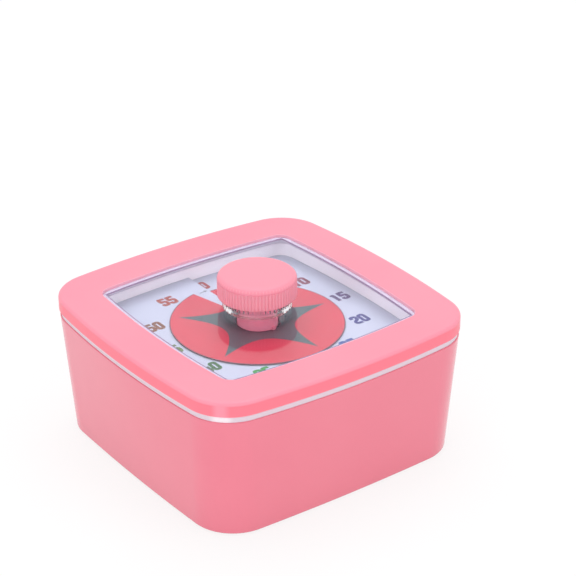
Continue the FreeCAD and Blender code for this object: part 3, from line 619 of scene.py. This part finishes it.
class GeometryTree:
    def __init__(self, name, sizes):
        self.tree = bpy.data.node_groups.new(name, "GeometryNodeTree")
        interface = self.tree.interface
        interface.new_socket("Geometry", in_out="OUTPUT", socket_type="NodeSocketGeometry")
        self.sizes = sizes
        self.identifiers = {}
        for label, value in sizes.items():
            kind = "NodeSocketInt" if isinstance(value, int) else "NodeSocketFloat"
            self.identifiers[label] = interface.new_socket(label, in_out="INPUT", socket_type=kind).identifier
        self.entry = self.tree.nodes.new("NodeGroupInput")

    def given(self, label):
        return Signal(self.tree, self.entry.outputs[label])

    def add(self, kind, settings=None, values=None):
        return addNode(self.tree, kind, settings, values)

    def point(self, **parts):
        # a vector from its X, Y and Z
        return self.add("ShaderNodeCombineXYZ", {}, parts)

    def spine(self, start, end, steps):
        # a straight curve, and the share of its length at each of its points
        line = self.add("GeometryNodeCurvePrimitiveLine", {}, {"Start": start, "End": end})
        line = self.add("GeometryNodeResampleCurve", {}, {"Curve": line, "Count": steps})
        return line, self.add("GeometryNodeSplineParameter")

    def rod(self, line, radius, sides):
        # a closed round rod along a curve
        profile = self.add("GeometryNodeCurvePrimitiveCircle", {}, {"Resolution": sides, "Radius": 1.0})
        return self.add("GeometryNodeCurveToMesh", {}, {"Curve": line, "Profile Curve": profile,
                                                        "Fill Caps": True, "Scale": radius})

    def finish(self, name, geometry, finish):
        real = self.add("GeometryNodeRealizeInstances", {}, {0: geometry})
        dressed = self.add("GeometryNodeSetMaterial", {}, {"Geometry": real, "Material": materials[finish]})
        leave = self.tree.nodes.new("NodeGroupOutput")
        self.tree.links.new(dressed.socket, leave.inputs[0])
        holder = bpy.data.objects.new(name, bpy.data.meshes.new(name + "Seed"))
        bpy.context.scene.collection.objects.link(holder)
        modifier = holder.modifiers.new(name, "NODES")
        modifier.node_group = self.tree
        for label, value in self.sizes.items():
            modifier[self.identifiers[label]] = value
        graph = bpy.context.evaluated_depsgraph_get()
        mesh = bpy.data.meshes.new_from_object(holder.evaluated_get(graph), depsgraph=graph)
        mesh.name = name
        bpy.data.objects.remove(holder)
        return mesh


def smoothByAngle(mesh, sharp):
    made = bmesh.new()
    made.from_mesh(mesh)
    smoothOver(made, sharp)
    made.to_mesh(mesh)
    made.free()
    return mesh


# in mm, the first rib in degrees; the ribs swell from a narrow foot, follow the dome and close at the tail
knobLook = {"radius": 12.26, "dome": 1.7, "domeSteps": 8, "turnSteps": 144, "wall": 1.8, "hubRadius": 6.36,
            "smallRound": 0.15, "footRound": 0.25, "underDome": 0.12, "lipDrop": 0.3, "lipOut": 0.1,
            "lipIn": 0.04, "topRings": (7.0, 3.0), "slack": 0.1, "sharp": 0.9,
            "ribs": 72, "ribDepth": 0.26, "ribRadius": 0.38, "firstRib": -1.1, "ribTop": 0.45,
            "ribBottom": 0.12, "ribSteps": 24, "ribSides": 8, "ribSharp": 1.2, "tailStart": 0.9,
            "tailRate": 10.0, "tailCut": 0.995, "footEnd": 0.06, "footRate": 16.6, "footCut": 0.6}


def buildKnob(look):
    low, high = [corner[2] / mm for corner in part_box("knob_cap")]
    hub, radius, dome, soft = look["hubRadius"], look["radius"], look["dome"], look["smallRound"]
    skirt = radius - look["ribDepth"]
    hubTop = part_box("knob_hub")[1][2] / mm
    socket, lining, ceiling = hub + look["wall"], skirt - look["wall"], high - 2 * look["wall"]
    outline = [(hub, hubTop), (hub, low + soft), (hub + soft, low), (socket - soft, low),
               (socket, low + soft), (socket, ceiling), (lining, ceiling), (lining, low + soft),
               (lining + soft, low), (skirt - look["footRound"], low), (skirt, low + look["footRound"])]
    shoulder = high - dome - look["underDome"]
    outline += [(skirt, shoulder - look["lipDrop"]), (skirt + look["lipOut"], shoulder - look["underDome"]),
                (radius - look["lipIn"], shoulder)]
    for step in range(look["domeSteps"] + 1):
        a = math.pi / 2 * step / look["domeSteps"]
        outline.append((radius - dome * (1 - math.cos(a)), high - dome * (1 - math.sin(a))))
    outline += [(ring, high) for ring in look["topRings"]]
    turns = [fullTurn * i / look["turnSteps"] for i in range(look["turnSteps"])]
    loops = [[(0.0, 0.0, hubTop * mm)]] + [circleLoop(r * mm, z * mm, turns) for r, z in outline]
    loops.append([(0.0, 0.0, high * mm)])
    mesh = ringMesh("knobCap", loops, False, look["sharp"])
    mesh.materials.append(materials["pink_bezel"])
    mesh.materials.append(materials["pink_ribs_lit"])
    # the skirt between the ribs takes the ribs' painted-light pink too
    for face in mesh.polygons:
        outside = face.center.xy.length / mm > skirt - look["slack"]
        face.material_index = int(outside and face.center.z / mm < shoulder)
    cap = newPiece("knobCap", mesh, "knob", None)
    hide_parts("knob_cap")

    tree = GeometryTree("knobRibTree", {
        "ribs": look["ribs"], "ribRadius": look["ribRadius"] * mm, "dome": dome * mm,
        "ringRadius": (radius - look["ribRadius"]) * mm, "bottom": (low + look["ribBottom"]) * mm,
        "top": (high - look["ribTop"]) * mm, "shoulder": (high - dome) * mm,
        "firstRib": math.radians(look["firstRib"])})
    ringRadius, bottom, top, bend = [tree.given(name) for name in ("ringRadius", "bottom", "top", "dome")]

    start, end = tree.point(X=ringRadius, Z=bottom), tree.point(X=ringRadius, Z=top)
    line, along = tree.spine(start, end, look["ribSteps"])
    # above the shoulder the rib leans in with the dome
    lean = (bottom - tree.given("shoulder") + along * (top - bottom)).most(0.0) / bend
    fall = (1.0 - (1.0 - lean * lean).root()) * bend * -1.0
    line = tree.add("GeometryNodeSetPosition", {}, {"Geometry": line, "Offset": tree.point(X=fall)})
    tail = (along - look["tailStart"]).most(0.0) * look["tailRate"]
    foot = (look["footEnd"] - along).most(0.0) * look["footRate"]
    swell = (1.0 - tail * tail * look["tailCut"]).root() * (1.0 - foot * foot * look["footCut"]).root()
    rib = tree.rod(line, swell * tree.given("ribRadius"), look["ribSides"])
    ring = tree.add("GeometryNodeMeshLine", {"mode": "OFFSET"}, {"Count": tree.given("ribs"),
                                                                 "Offset": (0.0, 0.0, 0.0)})
    turn = tree.add("GeometryNodeInputIndex") * fullTurn / tree.given("ribs") + tree.given("firstRib")
    spread = tree.add("GeometryNodeInstanceOnPoints", {}, {"Points": ring, "Instance": rib,
                                                           "Rotation": tree.point(Z=turn)})
    ribs = smoothByAngle(tree.finish("knobRibs", spread, "pink_ribs_lit"), look["ribSharp"])
    newPiece("knobRibs", ribs, "knob", "pink_ribs_lit")


buildKnob(knobLook)
print("knob built")


# sizes in mm, spacing and turn in degrees; a nudge moves a numeral aside and up
numeralLook = {
    "ring": 31.7, "spacing": 30.0, "turn": 0.8, "height": 5.2, "oneWide": 2.7, "twoWide": 5.8,
    "strokeWidth": 0.66, "cornerRound": 0.4, "cornerSteps": 5, "advance": 1.72, "lift": 0.04, "layer": 0.004,
    "inkDepth": 0.08,
    "inks": {"0": (145, 6, 14), "5": (136, 0, 41), "10": (109, 4, 57), "15": (59, 16, 95),
             "20": (31, 27, 113), "25": (14, 60, 137), "30": (15, 96, 161), "35": (7, 123, 40),
             "40": (22, 83, 26), "45": (68, 95, 17), "50": (112, 54, 17), "55": (143, 34, 11)},
    "nudges": {"0": (1.3, 0.6), "55": (0.8, 0.4), "25": (-0.6, 0.5), "30": (-0.3, 0.8), "35": (0.0, 0.9),
               "40": (0.3, 0.8), "45": (0.8, 0.3)},
}
inkLook = {"paper": 235, "worn": 0.25, "coverScale": 2400.0, "unevenScale": 500.0, "relief": 0.006 * mm,
           "polish": 0.45, "polishSpread": 0.12}


def inkMaterial(name, colour, look):
    # printed ink: slightly uneven, with tiny pinholes of paper
    tree = newMaterial(name)
    at = place(tree)
    cover = noise(at, look["coverScale"], 3.0)
    uneven = noise(at, look["unevenScale"])
    paler = tuple(c + (look["paper"] - c) * look["worn"] for c in colour)
    principled(tree, {
        "Base Color": drift(uneven * 0.5 + cover * 0.5, colour, paler, 0.5, 0.75),
        "Roughness": look["polish"] + cover * look["polishSpread"], "Normal": bump(cover, look["relief"])})


# centre lines of squarish digits on a box 1 wide and 2.4 high; a closed stroke ends on its first point
digitStrokes = {
    "0": [[(0, 0), (1, 0), (1, 2.4), (0, 2.4), (0, 0)]],
    "1": [[(0.15, 1.95), (0.6, 2.4), (0.6, -0.2)]],
    "2": [[(0, 1.7), (0, 2.4), (1, 2.4), (1, 1.35), (0, 0.75), (0, 0), (1.2, 0)]],
    "3": [[(0, 1.85), (0, 2.4), (1, 2.4), (1, 1.25), (0.3, 1.25)],
          [(0.3, 1.25), (1, 1.25), (1, 0), (0, 0), (0, 0.55)]],
    "4": [[(0.35, 2.6), (-0.05, 0.55), (1.35, 0.55)], [(0.85, 1.75), (0.85, -0.2)]],
    "5": [[(1.15, 2.4), (-0.18, 2.4)], [(0, 2.58), (0, 1.2)],
          [(-0.18, 1.35), (1, 1.35), (1, 0), (0, 0), (0, 0.6)]],
}


def roundedPath(points, radius, steps):
    # cuts each inner corner with an arc of a few steps; a closed path is rounded at its ends too
    closed = points[0] == points[-1]
    spots = [Vector(p) for p in (points[:-1] if closed else points)]
    path = []
    for i, spot in enumerate(spots):
        if not closed and i in (0, len(spots) - 1):
            path.append(spot)
            continue
        before, after = spots[i - 1], spots[(i + 1) % len(spots)]
        reach = min(radius, (before - spot).length / 2, (after - spot).length / 2)
        start = spot + (before - spot).normalized() * reach
        end = spot + (after - spot).normalized() * reach
        for step in range(steps + 1):
            t = step / steps
            path.append(start * (1 - t) ** 2 + spot * 2 * t * (1 - t) + end * t ** 2)
    return path, closed


def strokeRibbon(made, points, look, shift, level):
    path, closed = roundedPath(points, look["cornerRound"], look["cornerSteps"])
    rows = []
    for i, spot in enumerate(path):
        before = path[i - 1] if closed or i > 0 else spot
        after = path[(i + 1) % len(path)] if closed or i < len(path) - 1 else spot
        along = (after - before).normalized()
        side = Vector((-along.y, along.x)) * look["strokeWidth"] / 2
        rows.append([made.verts.new((p.x + shift, p.y, level)) for p in (spot + side, spot - side)])
    for (a, b), (c, d) in zip(rows, rows[1:] + (rows[:1] if closed else [])):
        made.faces.new((b, d, c, a))


def thicken(made, depth):
    # flat ink becomes a closed slab whose foot sinks into the dial
    tops = made.faces[:]
    rims = [edge.link_loops[0] for edge in made.edges if edge.is_boundary]
    below = {vert: made.verts.new(vert.co - Vector((0, 0, depth))) for vert in made.verts[:]}
    for face in tops:
        first, *rest = face.verts
        made.faces.new([below[vert] for vert in (first, *reversed(rest))])
    for rim in rims:
        a, b = rim.vert, rim.link_loop_next.vert
        made.faces.new((a, b, below[b], below[a]))
    bmesh.ops.recalc_face_normals(made, faces=made.faces)


def numeralMesh(text, look):
    # each stroke lies one layer above the last, so that crossing strokes never share a plane
    mesh = bpy.data.meshes.new("numeral" + text)
    made = bmesh.new()
    strokes = [(stroke, column) for column, digit in enumerate(text) for stroke in digitStrokes[digit]]
    level = 0.0
    for stroke, column in strokes:
        strokeRibbon(made, stroke, look, column * look["advance"], level)
        level += look["layer"]
    thicken(made, look["inkDepth"])
    made.to_mesh(mesh)
    made.free()
    left, right = [end(v.co.x for v in mesh.vertices) for end in (min, max)]
    foot, head = [end(v.co.y for v in mesh.vertices) for end in (min, max)]
    wide = look["oneWide"] if len(text) == 1 else look["twoWide"]
    for v in mesh.vertices:
        v.co.x = ((v.co.x - left) / (right - left) - 0.5) * wide * mm
        v.co.y = ((v.co.y - foot) / (head - foot) - 0.5) * look["height"] * mm
        v.co.z *= mm
    return mesh


def layOnDial(mesh, x, y, lift):
    for v in mesh.vertices:
        px, py = v.co.x + x, v.co.y + y
        v.co = (px, py, dialHeight(px, py) + lift * mm + v.co.z)


def buildNumerals(look):
    for step, (text, colour) in enumerate(look["inks"].items()):
        turn = math.radians(look["spacing"] * step + look["turn"])
        aside, up = look["nudges"].get(text, (0.0, 0.0))
        x = (look["ring"] * math.sin(turn) + aside) * mm
        y = (look["ring"] * math.cos(turn) + up) * mm
        mesh = numeralMesh(text, look)
        layOnDial(mesh, x, y, look["lift"])
        inkMaterial("ink" + text, colour, inkLook)
        newPiece("numeral" + text, mesh, "case", "ink" + text)


# a thin arc with a head, printed on the dial where the disc's gap shows it; mm and degrees
arrowLook = {"radius": 26.6, "from": -8.0, "to": -1.6, "steps": 8, "line": 0.32, "head": 1.3, "headTurn": 2.4,
             "lift": 0.04, "inkDepth": 0.08, "colour": (120, 122, 134)}


def buildArrow(look):
    mesh = bpy.data.meshes.new("dialArrow")
    made = bmesh.new()
    start, radius = look["from"], look["radius"]
    neck = look["to"] - look["headTurn"]

    def spot(angle, reach):
        a = math.radians(angle)
        return made.verts.new((reach * mm * math.sin(a), reach * mm * math.cos(a), 0.0))

    rows = []
    for i in range(look["steps"] + 1):
        angle = start + (neck - start) * i / look["steps"]
        rows.append((spot(angle, radius - look["line"] / 2), spot(angle, radius + look["line"] / 2)))
    for (a, b), (c, d) in zip(rows, rows[1:]):
        made.faces.new((a, c, d, b))
    made.faces.new((spot(neck, radius - look["head"] / 2), spot(look["to"], radius),
                    spot(neck, radius + look["head"] / 2)))
    bmesh.ops.recalc_face_normals(made, faces=made.faces)
    for face in made.faces:
        if face.normal.z < 0:
            face.normal_flip()
    thicken(made, look["inkDepth"] * mm)
    made.to_mesh(mesh)
    made.free()
    layOnDial(mesh, 0.0, 0.0, look["lift"])
    inkMaterial("inkArrow", look["colour"], inkLook)
    newPiece("dialArrow", mesh, "case", "inkArrow")


buildNumerals(numeralLook)
buildArrow(arrowLook)
print("dial printed")


screwLooks = {
    "case_screws": {"piece": "caseScrews", "headRadius": 2.8, "headHeight": 1.8, "shankRadius": 1.5,
                    "pitch": 1.1, "recessWide": 0.75, "recessDeep": 1.1, "turn": 0.7, "headUp": False},
    "movement_screws": {"piece": "movementScrews", "headRadius": 2.0, "headHeight": 1.3, "shankRadius": 1.1,
                        "pitch": 0.8, "recessWide": 0.55, "recessDeep": 0.8, "turn": 1.1, "headUp": False},
    "board_screws": {"piece": "boardScrews", "headRadius": 1.7, "headHeight": 1.0, "shankRadius": 0.9,
                     "pitch": 0.7, "recessWide": 0.5, "recessDeep": 0.65, "turn": 1.9, "headUp": True},
}
# the same on every screw; lengths are shares of the screw's own sizes
screwShape = {"steps": 110, "sides": 32, "crown": 0.75, "threadCut": 0.09, "tip": 0.3, "neck": 0.99,
              "bladeReach": 1.15, "bladeHeight": 2.0, "sharp": 0.7}


def buildScrews(node, look, shape):
    # four pan-head screws with a cross recess, one on each corner of the node's box
    low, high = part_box(node)
    inset = 2 * look["headRadius"] * mm
    sizes = {"spanX": high[0] - low[0] - inset, "spanY": high[1] - low[1] - inset,
             "middleX": (high[0] + low[0]) / 2, "middleY": (high[1] + low[1]) / 2,
             "seat": high[2] if look["headUp"] else low[2], "length": high[2] - low[2],
             "tilt": math.pi if look["headUp"] else 0.0, "turn": look["turn"]}
    for name in ("headRadius", "headHeight", "shankRadius", "pitch", "recessWide", "recessDeep"):
        sizes[name] = look[name] * mm
    tree = GeometryTree(look["piece"] + "Tree", sizes)
    length, pitch, headHeight, headRadius, recessWide = [
        tree.given(name) for name in ("length", "pitch", "headHeight", "headRadius", "recessWide")]

    line, along = tree.spine((0.0, 0.0, 0.0), tree.point(Z=length), shape["steps"])
    # a domed head, then a threaded shank that narrows over its last turn
    rise = along * length
    crown = (1.0 - rise / headHeight).most(0.0)
    crown = crown * crown * crown
    head = (1.0 - crown * crown * shape["crown"]).root() * headRadius
    groove = (rise / pitch * fullTurn).sine() * shape["threadCut"] + (1.0 - shape["threadCut"])
    point = ((length - rise) / pitch).least(1.0) * (1.0 - shape["tip"]) + shape["tip"]
    shank = tree.given("shankRadius") * groove * point
    inHead = 1.0 - (rise / headHeight).ease(shape["neck"], 1.0)
    body = tree.rod(line, head * inHead + shank * (1.0 - inHead), shape["sides"])

    reach, deep = headRadius * shape["bladeReach"], tree.given("recessDeep") * shape["bladeHeight"]
    for blade in (tree.point(X=reach, Y=recessWide, Z=deep), tree.point(X=recessWide, Y=reach, Z=deep)):
        cutter = tree.add("GeometryNodeMeshCube", {}, {"Size": blade})
        body = tree.add("GeometryNodeMeshBoolean", {"operation": "DIFFERENCE", "solver": "MANIFOLD"},
                        {"Mesh 1": body, "Mesh 2": cutter})
    corners = tree.add("GeometryNodeMeshGrid", {}, {
        "Size X": tree.given("spanX"), "Size Y": tree.given("spanY"), "Vertices X": 2, "Vertices Y": 2})
    middle = tree.point(X=tree.given("middleX"), Y=tree.given("middleY"), Z=tree.given("seat"))
    corners = tree.add("GeometryNodeSetPosition", {}, {"Geometry": corners, "Offset": middle})
    spin = tree.add("GeometryNodeInputIndex") * tree.given("turn")
    facing = tree.point(X=tree.given("tilt"), Z=spin)
    spread = tree.add("GeometryNodeInstanceOnPoints", {}, {"Points": corners, "Instance": body,
                                                           "Rotation": facing})
    mesh = smoothByAngle(tree.finish(look["piece"], spread, "steel"), shape["sharp"])
    screws = newPiece(look["piece"], mesh, "case", "steel")
    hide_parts(node)
    print(look["piece"], "faces:", len(mesh.polygons))


for node, look in screwLooks.items():
    buildScrews(node, look, screwShape)


# in metres, with greys of 0 to 1
floorLook = {"reach": 6.0, "drop": 0.0002, "colour": 0.9, "cloud": 0.99, "cloudScale": 30.0,
             "shownColour": 1.0, "shadowShare": 0.2}


def grey(level):
    return (level,) * 3 + (1.0,)


def backdropRay(tree):
    # 1 where the camera, a gloss or a clear part looks at the backdrop, 0 where it lights the object
    rays = tree.nodes.new("ShaderNodeLightPath")
    camera, glossy, clear = [Signal(tree, rays.outputs[f"Is {kind} Ray"])
                             for kind in ("Camera", "Glossy", "Transmission")]
    return (camera + glossy + clear).least(1.0)


def buildFloor(look):
    # it is seen as white, with a share of its shadow
    tree = newMaterial("studioFloor")
    clouds = noise(place(tree), look["cloudScale"])
    tone = mixColour(clouds, grey(look["colour"]), grey(look["colour"] * look["cloud"]))
    lit = addNode(tree, "ShaderNodeBsdfDiffuse", {}, {"Color": tone})
    bright = addNode(tree, "ShaderNodeEmission", {}, {"Color": grey(1.0), "Strength": 1.0})
    paper = addNode(tree, "ShaderNodeBsdfDiffuse", {}, {"Color": grey(look["shownColour"])})
    shown = addNode(tree, "ShaderNodeMixShader", {}, {0: look["shadowShare"], 1: bright, 2: paper})
    surface(tree, addNode(tree, "ShaderNodeMixShader", {}, {0: backdropRay(tree), 1: lit, 2: shown}))
    mesh = bpy.data.meshes.new("studioFloor")
    reach = look["reach"]
    corners = [(-reach, -reach, 0), (reach, -reach, 0), (reach, reach, 0), (-reach, reach, 0)]
    mesh.from_pydata(corners, [], [(0, 1, 2, 3)])
    mesh.materials.append(materials["studioFloor"])
    plane = bpy.data.objects.new("studioFloor", mesh)
    plane.location.z = -look["drop"]
    bpy.context.scene.collection.objects.link(plane)


# lamps are squares of this size in metres, with their power in watts, and all face the aim
lightLook = {
    "world": 0.66, "aim": (0, 0, 0.03),
    "panels": {
        "overhead": {"at": (0.12, 0.22, 0.9), "size": 0.9, "power": 3.9},
        "left": {"at": (-0.9, -0.25, 0.45), "size": 0.7, "power": 1.5},
        "right": {"at": (0.5, -0.9, 0.5), "size": 0.7, "power": 1.5},
        "front": {"at": (-0.6, -0.85, 0.12), "size": 0.6, "power": 1.6},
    },
}


def buildLight(look):
    world = bpy.data.worlds.new("studioWorld")
    bpy.context.scene.world = world
    world.use_nodes = True
    tree = world.node_tree
    tree.nodes.clear()
    dim = addNode(tree, "ShaderNodeBackground", {}, {"Color": grey(1.0), "Strength": look["world"]})
    white = addNode(tree, "ShaderNodeBackground", {}, {"Color": grey(1.0), "Strength": 1.0})
    mixed = addNode(tree, "ShaderNodeMixShader", {}, {0: backdropRay(tree), 1: dim, 2: white})
    leave = tree.nodes.new("ShaderNodeOutputWorld")
    tree.links.new(mixed.socket, leave.inputs["Surface"])

    for name, panel in look["panels"].items():
        lamp = bpy.data.lights.new(name, "AREA")
        lamp.shape = "SQUARE"
        lamp.size = panel["size"]
        lamp.energy = panel["power"]
        holder = bpy.data.objects.new(name, lamp)
        holder.location = panel["at"]
        facing = Vector(look["aim"]) - Vector(panel["at"])
        holder.rotation_euler = facing.to_track_quat("-Z", "Y").to_euler()
        bpy.context.scene.collection.objects.link(holder)


# degrees, and mm from the origin: away along the view, aside and above across it
cameraLook = {"lens": 120.58, "sensor": 36.0, "azimuth": -36.114, "elevation": 27.001, "roll": -0.301,
              "aside": 9.434, "above": 45.063, "away": 611.991, "clip": (0.01, 50.0)}


def buildCamera(look):
    azimuth, elevation, roll = [math.radians(look[k]) for k in ("azimuth", "elevation", "roll")]
    back = Vector((math.sin(azimuth) * math.cos(elevation), -math.cos(azimuth) * math.cos(elevation),
                   math.sin(elevation)))
    right = (-back).cross(Vector((0, 0, 1))).normalized()
    up = right.cross(-back)
    across = right * math.cos(roll) + up * math.sin(roll)
    upright = up * math.cos(roll) - right * math.sin(roll)
    data = bpy.data.cameras.new("studioCamera")
    data.lens = look["lens"]
    data.sensor_width = look["sensor"]
    data.clip_start, data.clip_end = look["clip"]
    holder = bpy.data.objects.new("studioCamera", data)
    turned = Matrix((across, upright, back)).transposed().to_4x4()
    spot = (back * look["away"] + right * look["aside"] + up * look["above"]) * mm
    holder.matrix_world = Matrix.Translation(spot) @ turned
    bpy.context.scene.collection.objects.link(holder)
    bpy.context.scene.camera = holder


buildFloor(floorLook)
buildLight(lightLook)
buildCamera(cameraLook)
bpy.context.scene.view_settings.view_transform = "Standard"
print("stage, lights and camera set")

bpy.context.view_layer.update()
